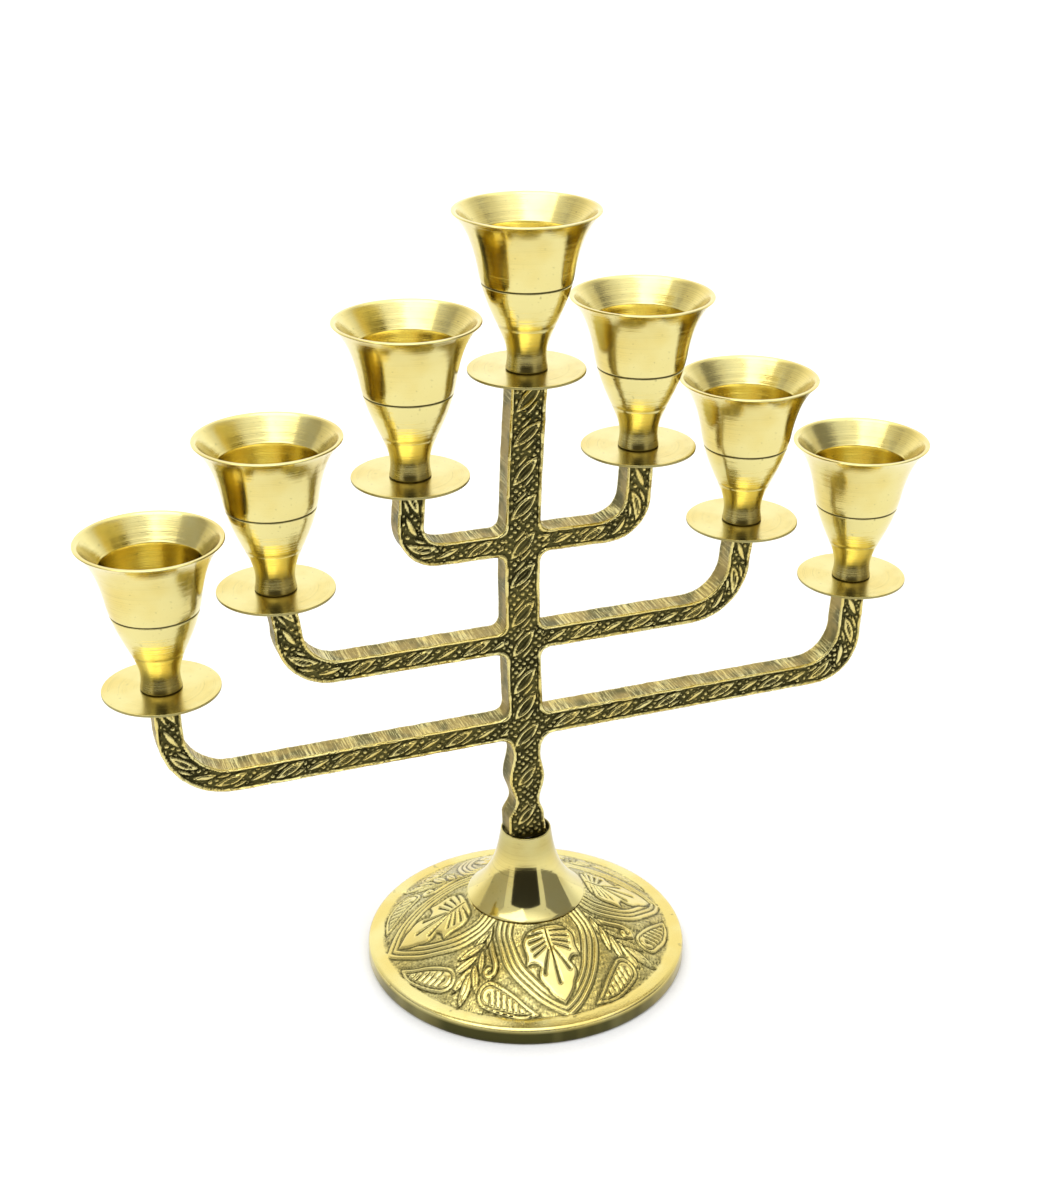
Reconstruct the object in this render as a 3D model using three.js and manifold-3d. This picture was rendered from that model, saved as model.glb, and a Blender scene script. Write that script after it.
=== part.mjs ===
// Seven-branch brass menorah. Units are millimetres, +Z is up, and the front looks along -Y.
// The origin is on the table, under the middle of the round foot.
import * as THREE from 'three';
import { mergeVertices } from 'three/addons/utils/BufferGeometryUtils.js';
import Module from 'manifold-3d';

const wasm = await Module();
wasm.setup();

// ---- Driving dimensions ----

// Gap kept between two separate pieces that sit against or inside each other.
const GAP = 0.3;
// Smaller gap where one piece simply stands on another.
const SEAT = 0.05;

// Candle cups, drip pans and the studs that hold them.
const CUP_HEIGHT = 47.45;
const CUP_RIM_RADIUS = 21.84;
const CUP_FOOT_RADIUS = 6.3;
const CUP_WAIST_RADIUS = 5.85;
const CUP_WAIST_HEIGHT = 4;
const CUP_THROAT_RADIUS = 14.4;
const CUP_THROAT_HEIGHT = 31;
const CUP_FLOOR = 15;
const PAN_RADIUS = 17.7;
const PAN_THICKNESS = 0.8;
const STUD_RADIUS = 2.5;
const STUD_IN_CUP = 5;
const STUD_IN_ARM = 8;
const BORE_RADIUS = STUD_RADIUS + GAP;

// Branch positions: x of the cup axis and height of the pan's top face.
const BRANCHES = [
  { name: 'left_outer', x: -115, z: 121 },
  { name: 'left_middle', x: -78.9, z: 147.4 },
  { name: 'left_inner', x: -36.6, z: 177.5 },
  { name: 'centre', x: 0, z: 206.5 },
  { name: 'right_inner', x: 36.6, z: 177.5 },
  { name: 'right_middle', x: 73.4, z: 147.4 },
  { name: 'right_outer', x: 115, z: 121 },
];

// Arm casting: one flat slab of square-edged bars.
const SLAB_THICKNESS = 8;
const STEM_HALF_WIDTH = 5.7;
const STEM_BOW = 2;
const JUNCTION_FILLET = 3;
// Heights of each level bar, with how far its right end rises above its left end.
const ARM_BARS = [
  { left: 'left_outer', right: 'right_outer', low: 83.1, high: 90.9, rise: 1 },
  { left: 'left_middle', right: 'right_middle', low: 114.7, high: 121.9, rise: 0 },
  { left: 'left_inner', right: 'right_inner', low: 148.3, high: 155.6, rise: -0.6 },
];
// The castings are uneven, so each riser has its own width, sideways lean and corner radii.
const RISERS = {
  left_outer: { width: 8.2, lean: 0.6, outer: 23, inner: 15 },
  left_middle: { width: 8.4, lean: 2.2, outer: 18, inner: 12 },
  left_inner: { width: 8.3, lean: -1.3, outer: 13, inner: 6 },
  right_inner: { width: 8.5, lean: -1, outer: 14, inner: 8 },
  right_middle: { width: 7.6, lean: -1.8, outer: 20, inner: 13 },
  right_outer: { width: 8.4, lean: -1.2, outer: 16, inner: 12 },
};
// The share of the lean that is left at the top of a riser, where the stud is.
const LEAN_AT_TOP = 0.2;

// Knop at the foot of the stem: height, half width and sideways shift at each swell and waist.
const KNOP = [
  { z: 47.7, half: 6.4, shift: -0.6 },
  { z: 53.4, half: 6.1, shift: -1 },
  { z: 59.4, half: 4.1, shift: -0.6 },
  { z: 68.3, half: 6, shift: -0.9 },
  { z: 77, half: 4.6, shift: -0.9 },
  { z: 84, half: STEM_HALF_WIDTH, shift: -0.9 },
];
const TENON_HALF_WIDTH = 6.05;
const TENON_DEPTH = 2.5;

// Neck ferrule: a hollow trumpet between the stem and the base.
const NECK_LIP_RADIUS = 19.8;
const NECK_TOP_RADIUS = 8.2;
const NECK_BOTTOM = 22.7;
const NECK_TOP = 47.7;
const NECK_SOCKET_RADIUS = 7.6;
const NECK_LEDGE = NECK_TOP - TENON_DEPTH - GAP;

// Base: a hollow dome on a plain vertical skirt.
const FOOT_RADIUS = 53.27;
const FOOT_INNER_RADIUS = 50.6;
const SKIRT_HEIGHT = 5.8;
const DOME_WALL = 2.2;
const DOME_CROWN_RADIUS = 20;
const DOME_FLANK_RADIUS = 47.7;
const DOME_FLANK_HEIGHT = 6.4;
const DOME_BULGE = 0.35;

// Tie stud, washer and nut that clamp base, neck and arms together.
const TIE_RADIUS = 2.5;
const TIE_TOP = 57;
const TIE_BOTTOM = 12;
const WASHER_RADIUS = 9;
const WASHER_THICKNESS = 1.2;
const NUT_ACROSS_FLATS = 9;
const NUT_HEIGHT = 4.2;

// Facet counts around each kind of round piece.
const CUP_SIDES = 28;
const SMALL_SIDES = 12;
const NECK_SIDES = 36;
const BASE_SIDES = 64;

// ---- Helpers ----

function metal(color, roughness) {
  return new THREE.MeshStandardMaterial({ color, roughness, metalness: 1 });
}

const POLISHED_BRASS = metal(0xd8c880, 0.2);
const SATIN_BRASS = metal(0xcdbb70, 0.32);
const CAST_BRASS = metal(0x8f7d3e, 0.45);
const STEEL = metal(0x9a9a98, 0.4);

// Turns a profile of [radius, height] points about the Z axis.
function turned(profile, sides) {
  const points = profile.map(([r, z]) => new THREE.Vector2(r, z));
  return new THREE.LatheGeometry(points, sides).rotateX(Math.PI / 2);
}

// Closes a profile on itself, for a ring with a hole through it.
function ring(profile, sides) {
  return turned([...profile, profile[0]], sides);
}

// Extrudes an outline drawn in the X-Z plane through the slab's thickness.
function slab(outline) {
  const solid = new THREE.ExtrudeGeometry(outline, {
    depth: SLAB_THICKNESS,
    bevelEnabled: false,
    curveSegments: 6,
  });
  return solid.rotateX(Math.PI / 2).translate(0, SLAB_THICKNESS / 2, 0);
}

function toManifold(geometry) {
  const bare = geometry.clone();
  bare.deleteAttribute('normal');
  bare.deleteAttribute('uv');
  const merged = mergeVertices(bare.index ? bare.toNonIndexed() : bare, 1e-4);
  return new wasm.Manifold(new wasm.Mesh({
    numProp: 3,
    vertProperties: new Float32Array(merged.attributes.position.array),
    triVerts: new Uint32Array(merged.index.array),
  }));
}

function toGeometry(manifold) {
  const mesh = manifold.getMesh();
  const geometry = new THREE.BufferGeometry();
  geometry.setAttribute('position', new THREE.BufferAttribute(mesh.vertProperties, 3));
  geometry.setIndex(new THREE.BufferAttribute(mesh.triVerts, 1));
  geometry.computeVertexNormals();
  return geometry;
}

function branch(name) {
  return BRANCHES.find((b) => b.name === name);
}

const menorah = new THREE.Group();

function addPiece(name, geometry, material, x = 0, z = 0) {
  const piece = new THREE.Mesh(geometry, material);
  piece.name = name;
  piece.position.set(x, 0, z);
  menorah.add(piece);
}

// ---- Candle cups, drip pans and arm studs ----

// A smooth stretch of outline from start to end, drawn towards two handles, without its last point.
function sweep(start, startHandle, endHandle, end, count) {
  const corners = [start, startHandle, endHandle, end].map(([x, y]) => new THREE.Vector2(x, y));
  const points = new THREE.CubicBezierCurve(...corners).getPoints(count);
  return points.slice(0, -1).map((point) => [point.x, point.y]);
}

// Heights are above the pan: foot, waist, bell, throat, rim, then the flared mouth and the candle bore.
function candleCup() {
  const waist = [CUP_WAIST_RADIUS, CUP_WAIST_HEIGHT];
  const throat = [CUP_THROAT_RADIUS, CUP_THROAT_HEIGHT];
  const rim = [CUP_RIM_RADIUS, CUP_HEIGHT - 0.25];
  const outside = [
    [CUP_FOOT_RADIUS, 0],
    ...sweep(waist, [6.6, 8], [12.9, 21], throat, 5),
    ...sweep(throat, [15.4, 36], [17.2, 43], rim, 4),
    rim,
    [CUP_RIM_RADIUS - 0.3, CUP_HEIGHT],
  ];
  const inside = [
    [20.5, CUP_HEIGHT],
    [15.3, 40.6],
    [14, 35],
    [11.8, 25],
    [9.4, 18],
    [7.6, CUP_FLOOR],
    [0, CUP_FLOOR],
  ];
  const studBore = [
    [0, STUD_IN_CUP + GAP],
    [BORE_RADIUS, STUD_IN_CUP + GAP],
    [BORE_RADIUS, 0],
  ];
  return turned([...studBore, ...outside, ...inside], CUP_SIDES);
}

function dripPan() {
  return ring([
    [BORE_RADIUS, -PAN_THICKNESS],
    [PAN_RADIUS, -PAN_THICKNESS],
    [PAN_RADIUS, 0],
    [BORE_RADIUS, 0],
  ], CUP_SIDES);
}

function armStud() {
  return turned([
    [0, -STUD_IN_ARM],
    [STUD_RADIUS, -STUD_IN_ARM],
    [STUD_RADIUS, STUD_IN_CUP],
    [0, STUD_IN_CUP],
  ], SMALL_SIDES);
}

for (const { name, x, z } of BRANCHES) {
  addPiece(`arm_stud_${name}`, armStud(), STEEL, x, z);
  addPiece(`drip_pan_${name}`, dripPan(), SATIN_BRASS, x, z);
  addPiece(`candle_cup_${name}`, candleCup(), POLISHED_BRASS, x, z + SEAT);
}

// ---- Arm casting ----

function armTop(z) {
  return z - PAN_THICKNESS - SEAT;
}

// The stem's half width and centre line at height z, eased between the knop's swells and waists.
function eased(z, key) {
  const last = KNOP.length - 1;
  const i = Math.max(1, KNOP.findIndex((station) => z <= station.z));
  if (z >= KNOP[last].z) return KNOP[last][key];
  const t = Math.max(0, (z - KNOP[i - 1].z) / (KNOP[i].z - KNOP[i - 1].z));
  return KNOP[i - 1][key] + (KNOP[i][key] - KNOP[i - 1][key]) * (1 - Math.cos(Math.PI * t)) / 2;
}

function stemHalfWidth(z) {
  return eased(z, 'half');
}

// The cast stem isn't straight: it leans out to the left and comes back under the top cup.
function stemCentre(z) {
  const start = KNOP.at(-1);
  if (z <= start.z) return eased(z, 'shift');
  const t = (z - start.z) / (branch('centre').z - start.z);
  return start.shift * (1 - t) - STEM_BOW * Math.sin(Math.PI * t);
}

function stemOutline() {
  const top = armTop(branch('centre').z);
  const heights = [];
  for (let z = NECK_TOP; z < KNOP.at(-1).z; z += 2.2) heights.push(z);
  for (let z = KNOP.at(-1).z; z < top - 6; z += 12) heights.push(z);
  heights.push(top);
  const outline = new THREE.Shape();
  outline.moveTo(-TENON_HALF_WIDTH, NECK_TOP - TENON_DEPTH);
  outline.lineTo(TENON_HALF_WIDTH, NECK_TOP - TENON_DEPTH);
  outline.lineTo(TENON_HALF_WIDTH, NECK_TOP);
  for (const z of heights) outline.lineTo(stemCentre(z) + stemHalfWidth(z), z);
  for (const z of heights.reverse()) outline.lineTo(stemCentre(z) - stemHalfWidth(z), z);
  outline.lineTo(-TENON_HALF_WIDTH, NECK_TOP);
  outline.closePath();
  return outline;
}

// A pair of arms is one U: a bar with a rounded corner and a riser at each end.
function armOutline({ left, right, low, high, rise }) {
  const top = armTop(branch(left).z);
  const start = { ...RISERS[left], x: branch(left).x };
  const end = { ...RISERS[right], x: branch(right).x };
  // A riser's edge at its top and where its corner begins, on the side given by sign.
  const topEdge = (r, sign) => r.x + LEAN_AT_TOP * r.lean + (sign * r.width) / 2;
  const footEdge = (r, sign) => r.x + r.lean + (sign * r.width) / 2;
  const outline = new THREE.Shape();
  const quarter = Math.PI / 2;
  outline.moveTo(topEdge(start, -1), top);
  outline.lineTo(footEdge(start, -1), low + start.outer);
  outline.absarc(footEdge(start, -1) + start.outer, low + start.outer, start.outer, 2 * quarter, 3 * quarter);
  outline.absarc(footEdge(end, 1) - end.outer, low + rise + end.outer, end.outer, 3 * quarter, 4 * quarter);
  outline.lineTo(topEdge(end, 1), top);
  outline.lineTo(topEdge(end, -1), top);
  outline.absarc(footEdge(end, -1) - end.inner, high + rise + end.inner, end.inner, 0, -quarter, true);
  outline.absarc(footEdge(start, 1) + start.inner, high + start.inner, start.inner, -quarter, -2 * quarter, true);
  outline.lineTo(topEdge(start, 1), top);
  outline.closePath();
  return outline;
}

// A fillet fills the corner at (x, z) towards sideX and sideZ, and reaches 1 mm into the bars.
function filletOutline(x, z, sideX, sideZ) {
  const r = JUNCTION_FILLET;
  const centre = [x + sideX * r, z + sideZ * r];
  const outline = new THREE.Shape();
  outline.moveTo(x - sideX, z - sideZ);
  outline.lineTo(centre[0], z - sideZ);
  for (let i = 0; i <= 4; i += 1) {
    const a = (Math.PI / 2) * (i / 4);
    outline.lineTo(centre[0] - sideX * r * Math.sin(a), centre[1] - sideZ * r * Math.cos(a));
  }
  outline.lineTo(x - sideX, centre[1]);
  outline.closePath();
  return outline;
}

function hole(radius, x, low, high) {
  const drill = new THREE.CylinderGeometry(radius, radius, high - low, SMALL_SIDES);
  return toManifold(drill.rotateX(Math.PI / 2).translate(x, 0, (low + high) / 2));
}

function armCasting() {
  let casting = toManifold(slab(stemOutline()));
  for (const bar of ARM_BARS) {
    casting = casting.add(toManifold(slab(armOutline(bar))));
    for (const [z, sideZ] of [[bar.low, -1], [bar.high, 1]]) {
      for (const sideX of [-1, 1]) {
        const x = stemCentre(z) + sideX * stemHalfWidth(z);
        casting = casting.add(toManifold(slab(filletOutline(x, z, sideX, sideZ))));
      }
    }
  }
  for (const { x, z } of BRANCHES) {
    casting = casting.subtract(hole(BORE_RADIUS, x, z - STUD_IN_ARM - GAP, z + 1));
  }
  casting = casting.subtract(hole(TIE_RADIUS + GAP, 0, NECK_TOP - TENON_DEPTH - 1, TIE_TOP + GAP));
  return toGeometry(casting);
}

addPiece('arm_casting', armCasting(), CAST_BRASS);

// ---- Neck ferrule ----

// Radius of the trumpet at height z: a concave flare from the top rim down to the lip.
function neckRadius(z) {
  const t = (NECK_TOP - z) / (NECK_TOP - NECK_BOTTOM);
  return NECK_TOP_RADIUS + (NECK_LIP_RADIUS - NECK_TOP_RADIUS) * (0.3 * t + 0.7 * t ** 3);
}

function neckFerrule() {
  const wall = 1.6;
  const webBottom = 40;
  const outside = [];
  const inside = [];
  for (let i = 0; i <= 8; i += 1) {
    const z = NECK_BOTTOM + 0.9 + (NECK_TOP - NECK_BOTTOM - 0.9) * (i / 8);
    outside.push([neckRadius(z), z]);
  }
  for (let i = 0; i <= 4; i += 1) {
    const z = webBottom - (webBottom - NECK_BOTTOM) * (i / 4);
    inside.push([neckRadius(z) - wall, z]);
  }
  return ring([
    [NECK_LIP_RADIUS, NECK_BOTTOM],
    ...outside,
    [NECK_SOCKET_RADIUS, NECK_TOP],
    [NECK_SOCKET_RADIUS, NECK_LEDGE],
    [TIE_RADIUS + GAP, NECK_LEDGE],
    [TIE_RADIUS + GAP, webBottom],
    ...inside,
  ], NECK_SIDES);
}

addPiece('neck_ferrule', neckFerrule(), POLISHED_BRASS);

// ---- Base ----

const DOME_TOP = NECK_BOTTOM - SEAT;

// Height of the dome's flank: a straight cone that swells a little towards its foot.
function domeHeight(r) {
  const t = (r - DOME_CROWN_RADIUS) / (DOME_FLANK_RADIUS - DOME_CROWN_RADIUS);
  return DOME_TOP + (DOME_FLANK_HEIGHT - DOME_TOP) * t + DOME_BULGE * Math.sin(Math.PI * t * t);
}

function baseDome() {
  const flank = [];
  for (let i = 0; i <= 5; i += 1) {
    const r = DOME_FLANK_RADIUS - (DOME_FLANK_RADIUS - DOME_CROWN_RADIUS) * (i / 5);
    flank.push([r, domeHeight(r)]);
  }
  return ring([
    [FOOT_RADIUS, 0],
    [FOOT_RADIUS, SKIRT_HEIGHT - 0.7],
    [FOOT_RADIUS - 0.9, SKIRT_HEIGHT],
    ...flank,
    [TIE_RADIUS + GAP, DOME_TOP],
    [TIE_RADIUS + GAP, DOME_TOP - DOME_WALL],
    [19.2, DOME_TOP - DOME_WALL],
    [37.6, 9.9],
    [46, 5],
    [FOOT_INNER_RADIUS, 3.4],
    [FOOT_INNER_RADIUS, 0],
  ], BASE_SIDES);
}

addPiece('base_dome', baseDome(), POLISHED_BRASS);

// ---- Tie stud, washer and nut ----

function tieStud() {
  return turned([
    [0, TIE_BOTTOM],
    [TIE_RADIUS, TIE_BOTTOM],
    [TIE_RADIUS, TIE_TOP],
    [0, TIE_TOP],
  ], SMALL_SIDES);
}

function baseWasher() {
  return ring([
    [TIE_RADIUS + GAP, -WASHER_THICKNESS],
    [WASHER_RADIUS, -WASHER_THICKNESS],
    [WASHER_RADIUS, 0],
    [TIE_RADIUS + GAP, 0],
  ], CUP_SIDES);
}

function baseNut() {
  const outline = new THREE.Shape();
  const corner = NUT_ACROSS_FLATS / Math.sqrt(3);
  for (let i = 0; i < 6; i += 1) {
    const a = (i * Math.PI) / 3;
    outline[i ? 'lineTo' : 'moveTo'](corner * Math.cos(a), corner * Math.sin(a));
  }
  outline.closePath();
  const bore = new THREE.Path().absarc(0, 0, TIE_RADIUS + GAP, 0, 2 * Math.PI);
  outline.holes.push(bore);
  return new THREE.ExtrudeGeometry(outline, {
    depth: NUT_HEIGHT,
    bevelEnabled: false,
    curveSegments: SMALL_SIDES,
  });
}

const WASHER_TOP = DOME_TOP - DOME_WALL - SEAT;
const NUT_BOTTOM = WASHER_TOP - WASHER_THICKNESS - SEAT - NUT_HEIGHT;

addPiece('tie_stud', tieStud(), STEEL);
addPiece('base_washer', baseWasher(), SATIN_BRASS, 0, WASHER_TOP);
addPiece('base_nut', baseNut(), SATIN_BRASS, 0, NUT_BOTTOM);

export default menorah;
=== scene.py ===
"""Looks of the seven-branch brass menorah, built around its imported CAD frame. Lengths are in millimetres."""

import math

import bpy
import numpy as np
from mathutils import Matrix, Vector


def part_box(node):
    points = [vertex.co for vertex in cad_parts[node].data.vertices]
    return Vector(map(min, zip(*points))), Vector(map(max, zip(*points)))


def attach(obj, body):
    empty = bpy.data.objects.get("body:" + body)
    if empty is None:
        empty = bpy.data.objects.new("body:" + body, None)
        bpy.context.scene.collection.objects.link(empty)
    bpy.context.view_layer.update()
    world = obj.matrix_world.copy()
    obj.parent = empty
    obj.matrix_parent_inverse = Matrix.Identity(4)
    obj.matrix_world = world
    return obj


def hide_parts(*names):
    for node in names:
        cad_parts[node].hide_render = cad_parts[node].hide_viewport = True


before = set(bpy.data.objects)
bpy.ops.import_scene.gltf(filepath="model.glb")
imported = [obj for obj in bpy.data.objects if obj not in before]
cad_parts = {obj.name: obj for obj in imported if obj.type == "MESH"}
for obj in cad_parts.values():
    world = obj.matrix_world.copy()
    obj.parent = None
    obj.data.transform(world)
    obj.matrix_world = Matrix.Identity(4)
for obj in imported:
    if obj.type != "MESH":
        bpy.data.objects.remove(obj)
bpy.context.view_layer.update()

# ---- Sizes ----

MM = 0.001
# Candle cup: heights are above its foot.
CUP_HEIGHT = 47.45
CUP_RIM = 21.84
# The dark groove and the crease above the foot of each hand-turned cup.
CUP_CUTS = {
    "left_outer": (25.5, 12.2),
    "left_middle": (26.5, 13.7),
    "left_inner": (26.0, 13.0),
    "centre": (26.4, 13.9),
    "right_inner": (25.6, 13.6),
    "right_middle": (25.5, 13.2),
    "right_outer": (25.6, 12.9),
}
CUP_FOOT = 6.3
CUP_WAIST = 5.85
CUP_THROAT = 14.4
CUP_FLOOR = 15.0
STUD_HOLE = 5.3
PROFILE_STEP = 0.55
CREASE_DEPTH = 0.14
# The dark groove's own close points, as (above its middle, cut depth), and how much room it takes.
GROOVE_POINTS = ((-0.34, 0), (-0.2, 0.2), (0, 0.3), (0.2, 0.2), (0.34, 0))
GROOVE_ROOM = 0.45
CUP_SIDES = 144
PAN_RADIUS = 17.7
PAN_THICKNESS = 0.8
BORE = 2.8
STUD_RADIUS = 2.5
THREAD_PITCH = 0.8
THREAD_DEPTH = 0.4

# Arm casting.
HALF_SLAB = 4.0
STEM_BOW = 2.0
LEAN_AT_TOP = 0.2
ARM_GAP = 0.85
KNOP = (
    (47.7, 6.4, -0.6),
    (53.4, 6.1, -1.0),
    (59.4, 4.1, -0.6),
    (68.3, 6.0, -0.9),
    (77.0, 4.6, -0.9),
    (84.0, 5.7, -0.9),
)
TENON_HALF = 6.05
TENON_FOOT = 45.2
# Each level bar: its two ends, its underside and top, and how far its right end rises.
ARM_BARS = (
    ("left_outer", "right_outer", 83.1, 90.9, 1.0),
    ("left_middle", "right_middle", 114.7, 121.9, 0.0),
    ("left_inner", "right_inner", 148.3, 155.6, -0.6),
)
# Each riser: width, sideways lean, outer and inner corner radius.
RISERS = {
    "left_outer": (8.2, 0.6, 23, 15),
    "left_middle": (8.4, 2.2, 18, 12),
    "left_inner": (8.3, -1.3, 13, 6),
    "right_inner": (8.5, -1.0, 14, 8),
    "right_middle": (7.6, -1.8, 20, 13),
    "right_outer": (8.4, -1.2, 16, 12),
}
CELL = 0.43
FILLET = 4.0
EDGE_ROUND = 0.4
BORDER = 0.72
RECESS = 1.0
# How far the outer rows of points on the plain sides are from the middle of the slab.
SIDE_ROW = 3.1

# Neck ferrule.
NECK_LIP = 19.8
NECK_NARROW = 8.2
NECK_BOTTOM = 22.7
NECK_TOP = 47.7
NECK_SOCKET = 7.6
NECK_LEDGE = 44.9
NECK_WEB = 40.0
NECK_WALL = 1.6
NECK_SIDES = 180
NECK_TARNISH = (36, 43)

# Base dome.
BASE_SIDES = 660
FOOT = 53.27
DOME_TOP = 22.65
DOME_CROWN = 20.0
DOME_FLANK = 47.7
DOME_FLANK_HEIGHT = 6.4
DOME_BULGE = 0.35
DOME_WALL = 2.2
ENGRAVED_FROM = 19.0
ENGRAVED_TO = 48.7
PATTERN_TURN = 3.0
GROOVE_DEPTH = 0.5

# Camera: place in metres, degrees below level and degrees to the right of straight ahead.
CAMERA_PLACE = (-0.1904, -0.5146, 0.3934)
CAMERA_LENS = 58.5
CAMERA_DOWN = 25.6
CAMERA_RIGHT = 20.07

# Level directions: across the front view, and from the object towards its front.
VIEW_ACROSS = (0.939, -0.343)
VIEW_TOWARDS = (-0.343, -0.939)

# ---- Small mathematics ----


def ease(value, low, high):
    """Goes smoothly from 0 at low to 1 at high."""
    t = np.clip((value - low) / (high - low), 0, 1)
    return t * t * (3 - 2 * t)


def wobble(x, y, size, seed):
    """Smooth unevenness between about -1 and 1, with swells of the given size."""
    rng = np.random.RandomState(seed)
    total = 0
    for _ in range(6):
        angle = rng.uniform(0, 2 * math.pi)
        reach = size * rng.uniform(0.7, 1.6)
        phase = rng.uniform(0, 2 * math.pi)
        along_wave = x * math.cos(angle) + y * math.sin(angle)
        total = total + np.sin(2 * math.pi * along_wave / reach + phase)
    return total / 3.5


def spline(points, step):
    """A smooth line through the points, with a point about every step."""
    p = np.array(points, float)
    ends = np.vstack([2 * p[0] - p[1], p, 2 * p[-1] - p[-2]])
    line = []
    for a, b, c, d in zip(ends, ends[1:], ends[2:], ends[3:]):
        count = max(2, int(round(np.linalg.norm(c - b) / step)))
        for t in np.arange(count) / count:
            curve = (2 * a - 5 * b + 4 * c - d) * t**2 + (3 * b - a - 3 * c + d) * t**3
            line.append(0.5 * (2 * b + (c - a) * t + curve))
    line.append(p[-1])
    return [tuple(q) for q in line]


def sweep(start, start_handle, end_handle, end, step):
    """A smooth line from start to end, drawn towards two handles, without its last point."""
    corners = np.array([start, start_handle, end_handle, end], float)
    count = max(2, int(round(math.dist(start, end) / step)))
    t = (np.arange(count) / count)[:, None]
    line = (1 - t) ** 3 * corners[0] + 3 * (1 - t) ** 2 * t * corners[1]
    line += 3 * (1 - t) * t**2 * corners[2] + t**3 * corners[3]
    return [tuple(q) for q in line]


def straight(a, b, step):
    """Points from a to b, without b, about every step."""
    a, b = np.array(a, float), np.array(b, float)
    count = max(1, int(round(np.linalg.norm(b - a) / step)))
    return [tuple(a + (b - a) * i / count) for i in range(count)]


def arc(centre, radius, start, end, count):
    """Points on an arc, angles in degrees."""
    angles = np.radians(np.linspace(start, end, count + 1))
    return [(centre[0] + radius * math.cos(a), centre[1] + radius * math.sin(a)) for a in angles]


def soften(profile, radius, closed):
    """Rounds each corner of a profile that turns more than 25 degrees."""
    p = [np.array(q, float) for q in profile]
    out = []
    for i, here in enumerate(p):
        if not closed and i in (0, len(p) - 1):
            out.append(tuple(here))
            continue
        before, after = p[i - 1] - here, p[(i + 1) % len(p)] - here
        room = min(np.linalg.norm(before), np.linalg.norm(after))
        before, after = before / np.linalg.norm(before), after / np.linalg.norm(after)
        turn = math.acos(max(-1, min(1, -before @ after)))
        if turn < math.radians(25):
            out.append(tuple(here))
            continue
        cut = min(radius * math.tan(turn / 2), 0.45 * room)
        start, end = here + before * cut, here + after * cut
        for t in np.linspace(0, 1, 4):
            out.append(tuple((1 - t) ** 2 * start + 2 * t * (1 - t) * here + t * t * end))
    return out


def signed_distance(x, z, outline):
    """How far points are inside a closed outline; outside is negative."""
    best = np.full(x.shape, 1e9)
    inside = np.zeros(x.shape, bool)
    ax, az = outline[-1]
    for bx, bz in outline:
        ex, ez = bx - ax, bz - az
        t = np.clip(((x - ax) * ex + (z - az) * ez) / max(ex * ex + ez * ez, 1e-12), 0, 1)
        best = np.minimum(best, np.hypot(x - ax - t * ex, z - az - t * ez))
        if ez:
            inside ^= ((az > z) != (bz > z)) & (x < ax + (z - az) / ez * ex)
        ax, az = bx, bz
    return np.where(inside, best, -best)


def along(x, z, line):
    """Distance along an open line and to its left, for the nearest point of the line."""
    best = np.full(x.shape, 1e9)
    run = np.zeros(x.shape)
    side = np.zeros(x.shape)
    start = 0
    for (ax, az), (bx, bz) in zip(line, line[1:]):
        ex, ez = bx - ax, bz - az
        length = math.hypot(ex, ez)
        t = np.clip(((x - ax) * ex + (z - az) * ez) / length**2, 0, 1)
        distance = np.hypot(x - ax - t * ex, z - az - t * ez)
        near = distance < best
        left = np.sign(ex * (z - az) - ez * (x - ax))
        run = np.where(near, start + t * length, run)
        side = np.where(near, left * distance, side)
        best = np.minimum(best, distance)
        start += length
    return run, side


# ---- Meshes ----


def piece(name, points, faces, material, body, replaces, at=(0, 0, 0), fields=None, sharp=50):
    """A smooth mesh that rides on a body and stands for CAD nodes. Points are relative to at."""
    mesh = bpy.data.meshes.new(name)
    mesh.from_pydata((np.asarray(points, float) * MM).tolist(), [], faces)
    mesh.update()
    for field, values in (fields or {}).items():
        made = mesh.attributes.new(field, "FLOAT", "POINT")
        made.data.foreach_set("value", np.asarray(values, np.float32).ravel())
    mesh.shade_smooth()
    mesh.set_sharp_from_angle(angle=math.radians(sharp))
    mesh.materials.append(material)
    obj = bpy.data.objects.new(name, mesh)
    obj.location = [c * MM for c in at]
    bpy.context.scene.collection.objects.link(obj)
    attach(obj, body)
    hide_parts(*replaces)


def turned(profile, sides, closed):
    """Points and faces of a profile of (radius, height) turned about Z. On the axis it ends in a fan."""
    points, rows = [], []
    for r, z in profile:
        if r < 1e-6:
            rows.append([len(points)])
            points.append((0, 0, z))
            continue
        rows.append(range(len(points), len(points) + sides))
        for j in range(sides):
            a = 2 * math.pi * j / sides
            points.append((r * math.cos(a), r * math.sin(a), z))
    pairs = list(zip(rows, rows[1:]))
    if closed:
        pairs.append((rows[-1], rows[0]))
    faces = []
    for low, high in pairs:
        for j in range(sides):
            k = (j + 1) % sides
            if len(low) == 1:
                faces.append((low[0], high[k], high[j]))
            elif len(high) == 1:
                faces.append((low[j], low[k], high[0]))
            else:
                faces.append((low[j], low[k], high[k], high[j]))
    return np.array(points), faces


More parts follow.
